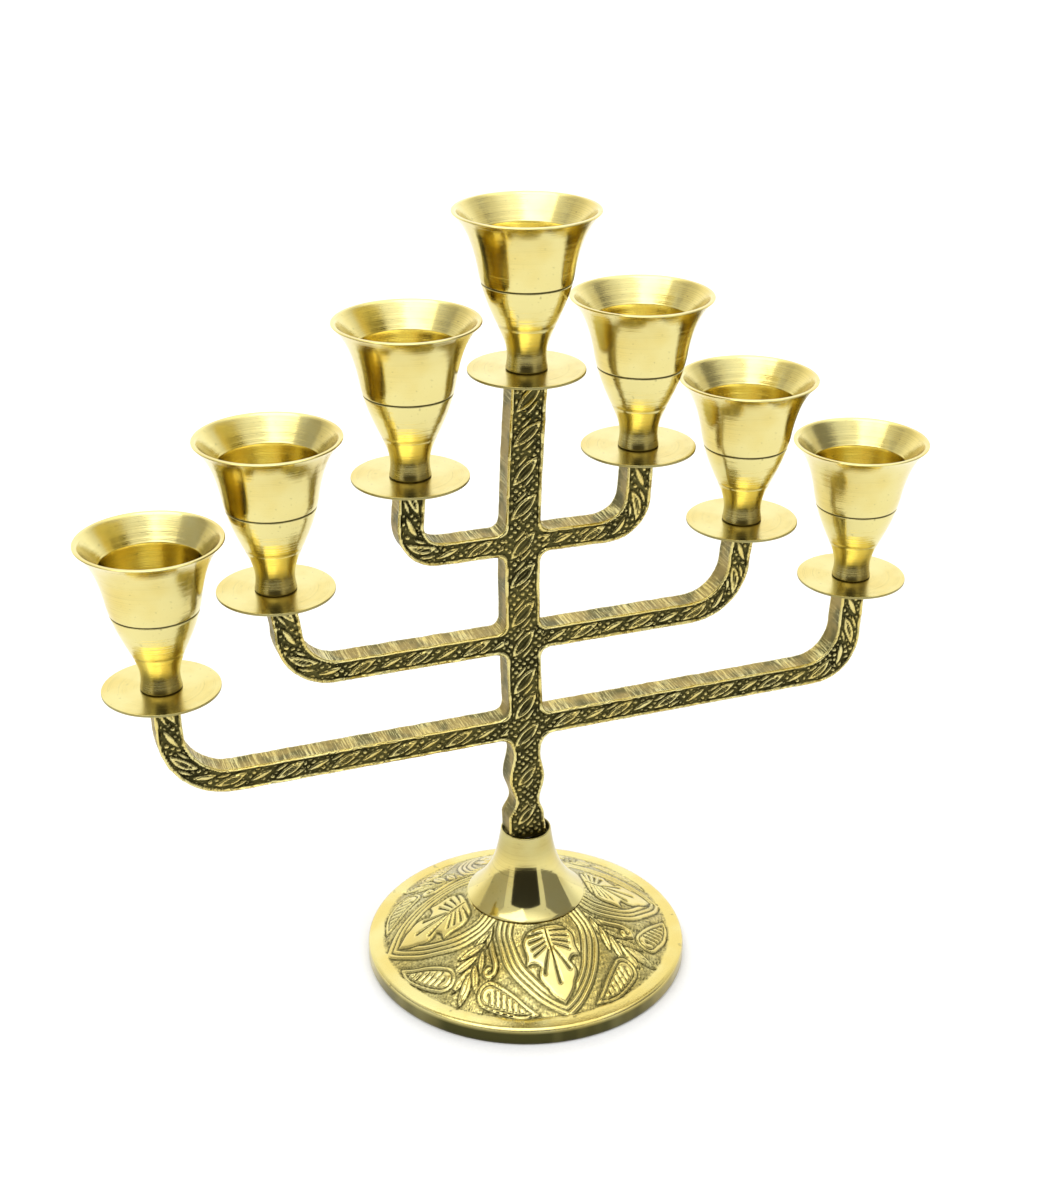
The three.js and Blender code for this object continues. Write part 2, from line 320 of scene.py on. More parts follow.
def threaded(radius, low, high, sides=40):
    """A rod with a screw thread cut round it, and a chamfer at each end."""
    steps = int(round((high - low) / (THREAD_PITCH / 7)))
    points, faces = [(0, 0, low)], []
    for i in range(steps + 1):
        z = low + (high - low) * i / steps
        near_end = min(z - low, high - z)
        for j in range(sides):
            turn = (z / THREAD_PITCH - j / sides) % 1
            depth = THREAD_DEPTH * abs(2 * turn - 1)
            depth = max(depth, 0.6 - near_end)
            a = 2 * math.pi * j / sides
            points.append(((radius - depth) * math.cos(a), (radius - depth) * math.sin(a), z))
    top = len(points)
    points.append((0, 0, high))
    for j in range(sides):
        k = (j + 1) % sides
        faces.append((0, 1 + k, 1 + j))
        for i in range(steps):
            a, b = 1 + i * sides, 1 + (i + 1) * sides
            faces.append((a + j, a + k, b + k, b + j))
        a = 1 + steps * sides
        faces.append((a + j, a + k, top))
    return np.array(points), faces


# ---- Materials ----


class Nodes:
    """An emptied node tree of a material or a world, and the steps that both need."""

    def __init__(self, owner):
        owner.use_nodes = True
        self.tree = owner.node_tree
        self.tree.nodes.clear()

    def node(self, kind, **settings):
        made = self.tree.nodes.new(kind)
        for key, value in settings.items():
            setattr(made, key, value)
        return made

    def link(self, source, target):
        self.tree.links.new(source, target)

    def put(self, target, value):
        if hasattr(value, "is_output"):
            self.link(value, target)
        else:
            target.default_value = value

    def sum(self, kind, a, b):
        """A Math node's result."""
        made = self.node("ShaderNodeMath", operation=kind)
        self.put(made.inputs[0], a)
        self.put(made.inputs[1], b)
        return made.outputs[0]

    def ramp(self, value, low, high, to_low=0.0, to_high=1.0):
        made = self.node("ShaderNodeMapRange", interpolation_type="SMOOTHSTEP")
        self.link(value, made.inputs["Value"])
        for key, number in zip(("From Min", "From Max", "To Min", "To Max"), (low, high, to_low, to_high)):
            made.inputs[key].default_value = number
        return made.outputs["Result"]


class Shader(Nodes):
    """A material's node tree, with its Principled shader."""

    def __init__(self, name):
        self.material = bpy.data.materials.new(name)
        super().__init__(self.material)
        self.shader = self.node("ShaderNodeBsdfPrincipled")
        output = self.node("ShaderNodeOutputMaterial")
        self.link(self.shader.outputs[0], output.inputs[0])

    def coordinates(self):
        return self.node("ShaderNodeTexCoord").outputs["Object"]

    def stretched(self, vector, scale):
        made = self.node("ShaderNodeVectorMath", operation="MULTIPLY")
        self.link(vector, made.inputs[0])
        made.inputs[1].default_value = scale
        return made.outputs[0]

    def noise(self, vector, scale, detail=2.0, roughness=0.5):
        made = self.node("ShaderNodeTexNoise")
        self.link(vector, made.inputs["Vector"])
        made.inputs["Scale"].default_value = scale
        made.inputs["Detail"].default_value = detail
        made.inputs["Roughness"].default_value = roughness
        return made.outputs["Fac"]

    def lines(self, value, scale, detail=2.0):
        """Noise that varies only with one value, such as the height on a lathe."""
        made = self.node("ShaderNodeTexNoise", noise_dimensions="1D")
        self.link(value, made.inputs["W"])
        made.inputs["Scale"].default_value = scale
        made.inputs["Detail"].default_value = detail
        return made.outputs["Fac"]

    def blend(self, factor, a, b):
        made = self.node("ShaderNodeMix", data_type="RGBA")
        self.put(made.inputs["Factor"], factor)
        for target, colour in ((made.inputs[6], a), (made.inputs[7], b)):
            self.put(target, colour if hasattr(colour, "is_output") else (*colour, 1))
        return made.outputs[2]

    def field(self, name):
        """A value stored at the points of the mesh."""
        return self.node("ShaderNodeAttribute", attribute_name=name).outputs["Fac"]

    def turn_height(self):
        """A value that grows along a lathe profile: the height plus a share of the radius."""
        vector = self.coordinates()
        split = self.node("ShaderNodeSeparateXYZ")
        self.link(vector, split.inputs[0])
        flat = self.node("ShaderNodeCombineXYZ")
        self.link(split.outputs[0], flat.inputs[0])
        self.link(split.outputs[1], flat.inputs[1])
        length = self.node("ShaderNodeVectorMath", operation="LENGTH")
        self.link(flat.outputs[0], length.inputs[0])
        share = self.sum("MULTIPLY", length.outputs["Value"], 1.3)
        return self.sum("ADD", split.outputs[2], share)

    def bump(self, height, distance, strength=1.0, normal=None):
        made = self.node("ShaderNodeBump")
        made.inputs["Distance"].default_value = distance * MM
        made.inputs["Strength"].default_value = strength
        self.link(height, made.inputs["Height"])
        if normal is not None:
            self.link(normal, made.inputs["Normal"])
        return made.outputs["Normal"]

    def finish(self, colour, roughness, normal, metallic=1.0):
        self.put(self.shader.inputs["Base Color"], colour)
        self.put(self.shader.inputs["Roughness"], roughness)
        self.put(self.shader.inputs["Metallic"], metallic)
        self.link(normal, self.shader.inputs["Normal"])
        return self.material


BRIGHT_BRASS = (0.70, 0.62, 0.26)
WARM_BRASS = (0.67, 0.54, 0.17)
PATINA = (0.035, 0.032, 0.010)
OLIVE = (0.13, 0.115, 0.036)
BROWN = (0.33, 0.25, 0.08)
# Dark colour of the base's skirt: a little tarnishing, and mostly a painted dark reflection.
SKIRT_TARNISHING_AND_PAINTED_REFLECTION = (0.062, 0.058, 0.018)
GROOVE_BROWN = (0.12, 0.105, 0.033)


def lathe_brass(name, roughness, line_depth, anisotropy):
    """Polished brass off the lathe: fine rings, faint tarnished clouds, dark in the cut grooves."""
    s = Shader(name)
    height = s.turn_height()
    cavity = s.field("cavity")
    rings = s.lines(height, 2600, 3)
    broad = s.lines(height, 420, 2)
    clouds = s.noise(s.coordinates(), 55, 3)
    spots = s.ramp(s.noise(s.coordinates(), 900, 2), 0.66, 0.78)
    scratches = s.sum("MULTIPLY", s.ramp(rings, 0.56, 0.72), s.ramp(clouds, 0.42, 0.66))
    tint = s.blend(s.ramp(clouds, 0.35, 0.7), BRIGHT_BRASS, WARM_BRASS)
    tint = s.blend(s.sum("MULTIPLY", spots, 0.35), tint, PATINA)
    tint = s.blend(s.sum("MULTIPLY", scratches, 0.26), tint, PATINA)
    colour = s.blend(s.sum("MULTIPLY", cavity, 0.9), tint, PATINA)
    rough = s.ramp(clouds, 0.3, 0.8, roughness, roughness + 0.07)
    rough = s.sum("ADD", rough, s.sum("MULTIPLY", rings, 0.08 * line_depth))
    rough = s.sum("ADD", rough, s.sum("MULTIPLY", cavity, 0.35))
    normal = s.bump(rings, 0.02 * line_depth)
    normal = s.bump(broad, 0.035 * line_depth, 1.0, normal)
    s.shader.inputs["Anisotropic"].default_value = anisotropy
    tangent = s.node("ShaderNodeTangent", direction_type="RADIAL", axis="Z")
    s.link(tangent.outputs[0], s.shader.inputs["Tangent"])
    return s.finish(colour, rough, normal)


def cast_brass(name):
    """Sand-cast brass: bright worn high parts, dark patina low down, file marks on the plain sides, and
    painted light that makes the tops of those sides lighter than their upright faces and undersides.
    """
    s = Shader(name)
    vector = s.coordinates()
    cavity = s.field("cavity")
    grain = s.noise(vector, 1500, 3, 0.6)
    clouds = s.noise(vector, 120, 3)
    marks = s.noise(s.stretched(vector, (1, 0.05, 1)), 2000, 3, 0.7)
    filed = s.field("filed")
    streaks = s.sum("MULTIPLY", s.ramp(marks, 0.35, 0.65, -0.24, 0.3), filed)
    uneven = s.sum("ADD", cavity, s.sum("MULTIPLY", s.sum("SUBTRACT", grain, 0.5), 0.35))
    dark = s.ramp(s.sum("ADD", uneven, streaks), 0.2, 0.75)
    tint = s.blend(s.ramp(clouds, 0.35, 0.65), BRIGHT_BRASS, WARM_BRASS)
    # Patina in the hollows. On the plain sides this dark colour also carries painted light and shade, which
    # makes their tops lighter than their upright faces and undersides.
    dirt_and_side_shade = s.blend(s.ramp(clouds, 0.3, 0.7), PATINA, OLIVE)
    dirt_and_side_shade = s.blend(filed, dirt_and_side_shade, s.blend(s.ramp(clouds, 0.35, 0.6), OLIVE, BROWN))
    colour = s.blend(dark, tint, dirt_and_side_shade)
    rough = s.sum("ADD", s.sum("MULTIPLY", dark, 0.28), s.sum("MULTIPLY", grain, 0.16))
    rough = s.sum("ADD", rough, 0.17)
    normal = s.bump(grain, 0.06)
    normal = s.bump(s.sum("MULTIPLY", marks, filed), 0.12, 1.0, normal)
    return s.finish(colour, rough, normal)


def engraved_brass(name):
    """The base: bright ridges, dark grooves and a rough stippled ground between them."""
    s = Shader(name)
    vector = s.coordinates()
    cavity = s.field("cavity")
    grain = s.noise(vector, 1300, 3, 0.65)
    clouds = s.noise(vector, 60, 3)
    unevenness = s.sum("MULTIPLY", s.sum("SUBTRACT", grain, 0.5), s.ramp(cavity, 0.1, 0.6, 0.3, 0.9))
    dark = s.ramp(s.sum("ADD", cavity, unevenness), 0.22, 0.85)
    tint = s.blend(s.ramp(clouds, 0.35, 0.65), BRIGHT_BRASS, WARM_BRASS)
    # The skirt is painted dark: a little tarnishing, and a painted dark reflection strongest at the front.
    tint = s.blend(s.field("skirt_tarnishing_and_painted_reflection"), tint, SKIRT_TARNISHING_AND_PAINTED_REFLECTION)
    colour = s.blend(dark, tint, GROOVE_BROWN)
    rough = s.sum("ADD", s.sum("MULTIPLY", dark, 0.2), s.sum("MULTIPLY", grain, 0.1))
    rough = s.sum("ADD", rough, 0.15)
    fine = s.bump(grain, 0.035)
    pits = s.sum("MULTIPLY", grain, s.ramp(cavity, 0.25, 0.6))
    return s.finish(colour, rough, s.bump(pits, 0.16, 1.0, fine))


def steel(name):
    """Bright steel with faint drawing lines."""
    s = Shader(name)
    height = s.turn_height()
    rings = s.lines(height, 3000, 2)
    clouds = s.noise(s.coordinates(), 300, 3)
    colour = s.blend(s.ramp(clouds, 0.3, 0.7), (0.42, 0.41, 0.39), (0.30, 0.29, 0.27))
    rough = s.sum("ADD", s.sum("MULTIPLY", rings, 0.15), 0.28)
    return s.finish(colour, rough, s.bump(rings, 0.02))


def paper(name):
    """The matt white table."""
    s = Shader(name)
    fibres = s.noise(s.coordinates(), 900, 2)
    colour = s.blend(s.ramp(fibres, 0.3, 0.7), (0.86, 0.86, 0.86), (0.88, 0.88, 0.88))
    return s.finish(colour, 0.8, s.bump(fibres, 0.02), 0.0)


CUP_BRASS = lathe_brass("turned_brass", 0.06, 1.1, 0.3)
PAN_BRASS = lathe_brass("satin_brass", 0.14, 0.8, 0.3)
NECK_BRASS = lathe_brass("polished_brass", 0.05, 0.5, 0.3)
BASE_BRASS = engraved_brass("engraved_base")
ARM_BRASS = cast_brass("cast_brass")
STEEL = steel("steel")

# ---- Candle cups, drip pans and studs ----


def pan_top(position):
    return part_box(f"drip_pan_{position}")[1].z / MM


def branch_x(position):
    low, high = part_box(f"drip_pan_{position}")
    return (low.x + high.x) / 2 / MM


def groove_offset(height, centre, half, depth):
    """How far a V groove cuts in at a height."""
    return depth * max(0.0, 1 - abs(height - centre) / half)


def cup_profile(groove, crease):
    """(radius, height) from the middle of the stud hole, up the outside and down into the candle bore."""
    foot, waist, throat = (CUP_FOOT, 0.35), (CUP_WAIST, 4.0), (CUP_THROAT, 31.0)
    rim = (CUP_RIM, CUP_HEIGHT - 0.25)
    outside = [
        *sweep(foot, (6.1, 1.4), (CUP_WAIST, 2.6), waist, PROFILE_STEP),
        *sweep(waist, (5.7, 10.5), (12.4, 17.5), throat, PROFILE_STEP),
        *sweep(throat, (15.4, 36.0), (17.2, 43.0), rim, PROFILE_STEP),
        rim,
    ]
    cut = []
    for r, h in outside:
        cut.append((r - groove_offset(h, crease, 0.6, CREASE_DEPTH), h))
    out = []
    done = False
    for r, h in cut:
        if abs(h - groove) > GROOVE_ROOM:
            if h > groove and not done:
                base = np.interp(groove, [p[1] for p in cut], [p[0] for p in cut])
                for offset, depth in GROOVE_POINTS:
                    out.append((base + 0.2 * offset - depth, groove + offset))
                done = True
            out.append((r, h))
    bore = [(0, STUD_HOLE), (BORE, STUD_HOLE), (BORE, 0), (CUP_FOOT - 0.2, 0)]
    inside = [
        (CUP_RIM - 0.3, CUP_HEIGHT),
        (20.6, CUP_HEIGHT),
        *straight((20.2, 47.1), (15.3, 40.6), 0.7),
        *straight((15.3, 40.6), (14.9, 40.1), 0.3),
        *spline([(14.9, 40.1), (14.0, 35.0), (11.8, 25.0), (9.4, 18.0), (7.6, CUP_FLOOR)], 0.9),
        (0, CUP_FLOOR),
    ]
    return soften(bore + out + inside, 0.25, False)


def cup_cavity(points, groove, crease):
    """Darkening on the outside: in the groove and the crease, and darker towards the foot, most of all along
    its bottom edge where it meets the pan.
    """
    r, h = np.hypot(points[:, 0], points[:, 1]), points[:, 2]
    outer = r > np.interp(h, [0, 6, 16.8, 30, 47], [5.2, 5.2, 9.4, 13, 19])
    near = 1 - ease(np.abs(h - groove), 0.16, 0.34)
    fold = 0.3 * (1 - ease(np.abs(h - crease), 0.1, 0.5))
    foot = 0.9 * (1 - ease(h, 0.1, 0.5)) + 0.38 * (1 - ease(h, 4, 9))
    return np.where(outer, np.clip(np.maximum(np.maximum(near, fold), foot), 0, 1), 0)


def pan_profile():
    flat = straight((PAN_RADIUS, 0), (BORE, 0), 1.2)[1:]
    under = straight((BORE, -PAN_THICKNESS), (PAN_RADIUS, -PAN_THICKNESS), 1.2)
    return soften([*under, (PAN_RADIUS, -PAN_THICKNESS), (PAN_RADIUS, 0), *flat, (BORE, 0)], 0.22, True)


def build_branches():
    pan_points, pan_faces = turned(pan_profile(), CUP_SIDES, True)
    pan_edge = 0.6 * ease(np.hypot(pan_points[:, 0], pan_points[:, 1]), PAN_RADIUS - 0.12, PAN_RADIUS)
    stud_points, stud_faces = threaded(STUD_RADIUS, -8, 5)
    for position, cuts in CUP_CUTS.items():
        cup_points, cup_faces = turned(cup_profile(*cuts), CUP_SIDES, False)
        x, top = branch_x(position), pan_top(position)
        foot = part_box(f"candle_cup_{position}")[0].z / MM
        piece(
            f"cup_{position}",
            cup_points,
            cup_faces,
            CUP_BRASS,
            f"cup_{position}",
            [f"candle_cup_{position}"],
            at=(x, 0, foot),
            fields={"cavity": cup_cavity(cup_points, *cuts)},
            sharp=40,
        )
        piece(
            f"pan_{position}",
            pan_points,
            pan_faces,
            PAN_BRASS,
            f"pan_{position}",
            [f"drip_pan_{position}"],
            at=(x, 0, top),
            fields={"cavity": pan_edge},
            sharp=40,
        )
        piece(
            f"stud_{position}",
            stud_points,
            stud_faces,
            STEEL,
            "stand",
            [f"arm_stud_{position}"],
            at=(x, 0, top),
        )


# ---- Neck ferrule ----


def neck_radius(z):
    """A concave flare from the narrow top down to the wide lip."""
    t = (NECK_TOP - z) / (NECK_TOP - NECK_BOTTOM)
    return NECK_NARROW + (NECK_LIP - NECK_NARROW) * (0.3 * t + 0.7 * t**3)


def build_neck():
    heights = np.linspace(NECK_BOTTOM + 0.9, NECK_TOP, 46)
    outside = [(neck_radius(z), z) for z in heights]
    inner_heights = np.linspace(NECK_WEB, NECK_BOTTOM, 14)
    inside = [(neck_radius(z) - NECK_WALL, z) for z in inner_heights]
    profile = [
        (NECK_LIP, NECK_BOTTOM),
        *outside,
        (NECK_SOCKET, NECK_TOP),
        (NECK_SOCKET, NECK_LEDGE),
        (BORE, NECK_LEDGE),
        (BORE, NECK_WEB),
        *inside,
    ]
    points, faces = turned(soften(profile, 0.3, True), NECK_SIDES, True)
    r = np.hypot(points[:, 0], points[:, 1])
    socket = (r < NECK_SOCKET + 0.35) & (points[:, 2] > 44)
    lip = 0.5 * (1 - ease(points[:, 2], NECK_BOTTOM + 0.05, NECK_BOTTOM + 0.35)) * (r > 19)
    lip = np.maximum(lip, 0.3 * ease(points[:, 2], *NECK_TARNISH))
    piece(
        "neck",
        points,
        faces,
        NECK_BRASS,
        "stand",
        ["neck_ferrule"],
        fields={"cavity": np.maximum(np.where(socket, 0.9, 0), lip)},
    )


# ---- Arm casting ----


def knop_value(z, column):
    """The stem's half width (1) or sideways shift (2), eased between the knop's swells and waists."""
    heights = np.array([row[0] for row in KNOP])
    values = np.array([row[column] for row in KNOP])
    z = np.clip(z, heights[0], heights[-1])
    i = np.clip(np.searchsorted(heights, z), 1, len(heights) - 1)
    t = (z - heights[i - 1]) / (heights[i] - heights[i - 1])
    return values[i - 1] + (values[i] - values[i - 1]) * (1 - np.cos(math.pi * t)) / 2


def stem_centre(z):
    """The cast stem isn't straight: it leans out to the left and comes back under the top cup."""
    start, top = KNOP[-1][0], pan_top("centre")
    t = np.clip((z - start) / (top - start), 0, 1)
    bowed = KNOP[-1][2] * (1 - t) - STEM_BOW * np.sin(math.pi * t)
    return np.where(z <= start, knop_value(z, 2), bowed)


def stem_edge(x, z):
    """How far inside the stem a point is."""
    half = knop_value(z, 1)
    side = half - np.abs(x - stem_centre(z))
    tenon = TENON_HALF - np.abs(x)
    side = np.where(z < NECK_TOP, tenon, side)
    return np.minimum(side, np.minimum(pan_top("centre") - ARM_GAP - z, z - TENON_FOOT))


def riser_lines(position):
    """A riser's left and right edge as (x at the top, x at the foot), and its corner radii."""
    width, lean, outer, inner = RISERS[position]
    x = branch_x(position)
    edges = [
        (x + LEAN_AT_TOP * lean + sign * width / 2, x + lean + sign * width / 2) for sign in (-1, 1)
    ]
    return edges[0], edges[1], outer, inner


def arm_outline(bar):
    left, right, low, high, rise = bar
    left_out, left_in, left_outer, left_inner = riser_lines(left)
    right_in, right_out, right_outer, right_inner = riser_lines(right)
    top_left, top_right = pan_top(left) - ARM_GAP, pan_top(right) - ARM_GAP
    return [
        (left_out[0], top_left),
        *arc((left_out[1] + left_outer, low + left_outer), left_outer, 180, 270, 12),
        *arc((right_out[1] - right_outer, low + rise + right_outer), right_outer, 270, 360, 12),
        (right_out[0], top_right),
        (right_in[0], top_right),
        *arc((right_in[1] - right_inner, high + rise + right_inner), right_inner, 0, -90, 10),
        *arc((left_in[1] + left_inner, high + left_inner), left_inner, 270, 180, 10),
        (left_in[0], top_left),
    ]


def arm_middle(bar):
    """The line down the middle of a pair of arms, from the top of the left riser to the right one's."""
    left, right, low, high, rise = bar
    line = []
    for position, lift, angles in ((left, 0, (180, 270)), (right, rise, (270, 360))):
        near, far, outer, inner = riser_lines(position)
        radius = (outer + inner) / 2
        sign = 1 if position == left else -1
        centre = ((near[1] + far[1]) / 2 + sign * radius, (low + high) / 2 + lift + radius)
        end = [((near[0] + far[0]) / 2, pan_top(position) - ARM_GAP)]
        bend = arc(centre, radius, *angles, 12)
        line += end + bend if sign > 0 else bend + end
    return line


def join(a, b, reach):
    """The larger of two inside distances, with the corner between them filled."""
    h = np.clip(0.5 + 0.5 * (a - b) / reach, 0, 1)
    return b + (a - b) * h + reach * h * (1 - h)


def casting_edge(x, z):
    """How far inside the whole casting's outline a point is, with a sand casting's unevenness."""
    edge = stem_edge(x, z)
    for bar in ARM_BARS:
        edge = join(edge, signed_distance(x, z, arm_outline(bar)), FILLET)
    uneven = 0.07 * wobble(x, z, 9, 3) + 0.05 * wobble(x, z, 3.2, 4)
    return edge - 0.08 + uneven * (edge > -3)


def pointed(p, q, length, width):
    """How far inside a pointed oval a point is."""
    inner = width * (1 - (p / length) ** 2) - np.abs(q)
    return np.where(np.abs(p) < length, inner, -np.hypot(np.maximum(np.abs(p) - length, 0), q))


def leaf(p, q, length, width):
    """Height of a pointed leaf with a raised rim and vein, and how much of the ground it covers."""
    rim = pointed(p, q, length, width)
    height = np.exp(-(((rim - 0.38) / 0.5) ** 4))
    vein = 0.62 * np.exp(-((q / 0.3) ** 2)) * ease(rim, 0.8, 1.1) * ease(length - np.abs(p), 1.2, 2.6)
    return np.maximum(height, vein), ease(rim, -0.8, -0.3)


def beads(s, v, pitch):
    """A field of small round beads in diamond rows."""
    a, b = (s + v) / math.sqrt(2), (s - v) / math.sqrt(2)
    crossing = np.abs(np.cos(math.pi * a / pitch) * np.cos(math.pi * b / pitch))
    return ease(crossing, 0.2, 0.7)


def laid_leaves(s, v, leaves):
    """Leaves along a strip, on a beaded ground. Each is (distance along, tilt, length, width)."""
    ground = 0.85 * beads(s + 0.3 * wobble(s, v, 7, 11), v + 0.25 * wobble(s, v, 6, 12), 1.9)
    for centre, tilt, length, width in leaves:
        near = np.abs(s - centre) < 9
        c, n = math.cos(math.radians(tilt)), math.sin(math.radians(tilt))
        p, q = (s - centre) * c + v * n, v * c - (s - centre) * n
        height, cover = leaf(p, q, length, width)
        # A slender blade lies along each side of a broad leaf.
        if width > 1:
            for side in (-1, 1):
                blade = pointed(p + side * 1.6, q - side * (width + 1.1), 0.5 * length, 0.45)
                cover = np.maximum(cover, ease(blade, -0.7, -0.3))
                height = np.maximum(height, 0.85 * ease(blade, -0.3, 0.1))
        ground = np.where(near, np.maximum(ground * (1 - cover), height), ground)
    return ground


STEM_LEAVES = (54.3, 69.0, 84.3, 94.8, 103.9, 117.4, 127.6, 140.7, 150.9, 163.6, 175.2, 187.0, 198.4)


def stem_pattern(x, z):
    rng = np.random.RandomState(21)
    leaves = []
    for height in STEM_LEAVES:
        tight = 0.8 if height < 75 else 1
        leaves.append((height, 46 + rng.uniform(-5, 5), 5.6 * tight, 1.95 * tight))
    return laid_leaves(z, x - stem_centre(z), leaves)


def arm_pattern(x, z, bar, seed):
    line = arm_middle(bar)
    s, v = along(x, z, line)
    total = sum(math.dist(a, b) for a, b in zip(line, line[1:]))
    rng = np.random.RandomState(seed)
    leaves = []
    place = 5.5
    while place < total - 4:
        big = len(leaves) % 2 == 0
        length, width = (5.2, 1.35) if big else (3.8, 0.75)
        leaves.append((place, 24 + rng.uniform(-4, 6), length, width))
        place += 9.2 + rng.uniform(-0.8, 0.8)
    return laid_leaves(s, v, leaves)


def casting_relief(x, z, seed):
    """Depth below the raised border and how dark the hollow is, over one face of the casting."""
    edge = casting_edge(x, z)
    height = stem_pattern(x, z) if seed == 0 else stem_pattern(x, z + 4)
    share = ease(stem_edge(x, z), -0.9, -0.3)
    for i, bar in enumerate(ARM_BARS):
        near = (signed_distance(x, z, arm_outline(bar)) > -1) & (share < 1)
        if near.any():
            arm = arm_pattern(x[near], z[near], bar, 31 + i + seed)
            height[near] = height[near] * share[near] + arm * (1 - share[near])
    height = height * (0.9 + 0.12 * wobble(x, z, 5, 7 + seed))
    # A dark line separates the pattern from the plain border.
    edge = edge + 0.08 * wobble(x, z, 6, 9)
    height = height * ease(edge, BORDER + 0.3, BORDER + 0.9)
    border = (1 - ease(edge, BORDER, BORDER + 0.4)) * ease(z, TENON_FOOT + 0.8, TENON_FOOT + 1.4)
    height = np.clip(np.maximum(height, border), 0, 1)
    return RECESS * (1 - height), np.clip(1.15 * (1 - height), 0, 1)


def edge_round(edge):
    """How far the face drops away near the outline."""
    t = np.clip(edge / EDGE_ROUND, 0, 1)
    return EDGE_ROUND * (1 - np.sqrt(1 - (1 - t) ** 2))


def slope(x, z, step=0.05):
    """The direction in which a point gets further inside, as two arrays."""
    gx = (casting_edge(x + step, z) - casting_edge(x - step, z)) / (2 * step)
    gz = (casting_edge(x, z + step) - casting_edge(x, z - step)) / (2 * step)
    size = np.maximum(np.hypot(gx, gz), 0.2)
    return gx / size, gz / size


def casting_grid():
    """Points in X-Z and square cells that fill the outline, with the points on the rim marked."""
    reach = branch_x("right_outer") + 7
    xs = np.arange(-reach, reach, CELL)
    zs = np.arange(TENON_FOOT - 1, pan_top("centre") + 1, CELL)
    grid_x, grid_z = np.meshgrid(xs, zs, indexing="ij")
    inside = casting_edge(grid_x, grid_z) > -0.2 * CELL
    cell = inside[:-1, :-1] & inside[1:, :-1] & inside[:-1, 1:] & inside[1:, 1:]
    # Where two cells touch only at a corner, both are dropped.
    for _ in range(4):
        a, b, c, d = cell[:-1, :-1], cell[1:, 1:], cell[1:, :-1], cell[:-1, 1:]
        cross = (a & b & ~c & ~d) | (c & d & ~a & ~b)
        cell[:-1, :-1][cross] = False
        cell[1:, 1:][cross] = False
        cell[1:, :-1][cross] = False
        cell[:-1, 1:][cross] = False
    used = np.zeros(grid_x.shape, bool)
    full = np.ones(grid_x.shape, bool)
    for dx in (0, 1):
        for dz in (0, 1):
            part = (slice(dx, dx - 1 or None), slice(dz, dz - 1 or None))
            used[part] |= cell
            full[part] &= cell
    full[0], full[-1], full[:, 0], full[:, -1] = False, False, False, False
    number = np.full(grid_x.shape, -1)
    number[used] = np.arange(used.sum())
    corners = (number[:-1, :-1], number[1:, :-1], number[1:, 1:], number[:-1, 1:])
    faces = np.stack([c[cell] for c in corners], axis=1)
    return grid_x[used], grid_z[used], faces, ~full[used]


def rim_edges(faces):
    """The directed edges that only one face uses."""
    edges = np.concatenate([faces[:, [k, (k + 1) % 4]] for k in range(4)])
    top = edges.max() + 1
    forward = edges[:, 0] * top + edges[:, 1]
    backward = edges[:, 1] * top + edges[:, 0]
    return edges[~np.isin(forward, backward)], edges


def onto_outline(x, z, rim):
    """Moves the rim points twice towards the outline."""
    for _ in range(2):
        edge = casting_edge(x[rim], z[rim])
        gx, gz = slope(x[rim], z[rim])
        x[rim] -= edge * gx
        z[rim] -= edge * gz


def settle(x, z, faces, rim):
    """Pulls the rim onto the outline and evens out the cells beside it."""
    border, edges = rim_edges(faces)
    band = casting_edge(x, z) < 3 * CELL
    for _ in range(5):
        onto_outline(x, z, rim)
        total = np.zeros((3, len(x)))
        for a, b in ((edges[:, 0], edges[:, 1]), (edges[:, 1], edges[:, 0])):
            keep = ~rim[a]
            np.add.at(total[0], a[keep], x[b[keep]])
            np.add.at(total[1], a[keep], z[b[keep]])
            np.add.at(total[2], a[keep], 1)
        for a, b in ((border[:, 0], border[:, 1]), (border[:, 1], border[:, 0])):
            np.add.at(total[0], a, x[b])
            np.add.at(total[1], a, z[b])
            np.add.at(total[2], a, 1)
        move = band & (total[2] > 0)
        x[move] = 0.5 * x[move] + 0.5 * total[0, move] / total[2, move]
        z[move] = 0.5 * z[move] + 0.5 * total[1, move] / total[2, move]
    onto_outline(x, z, rim)
    return border


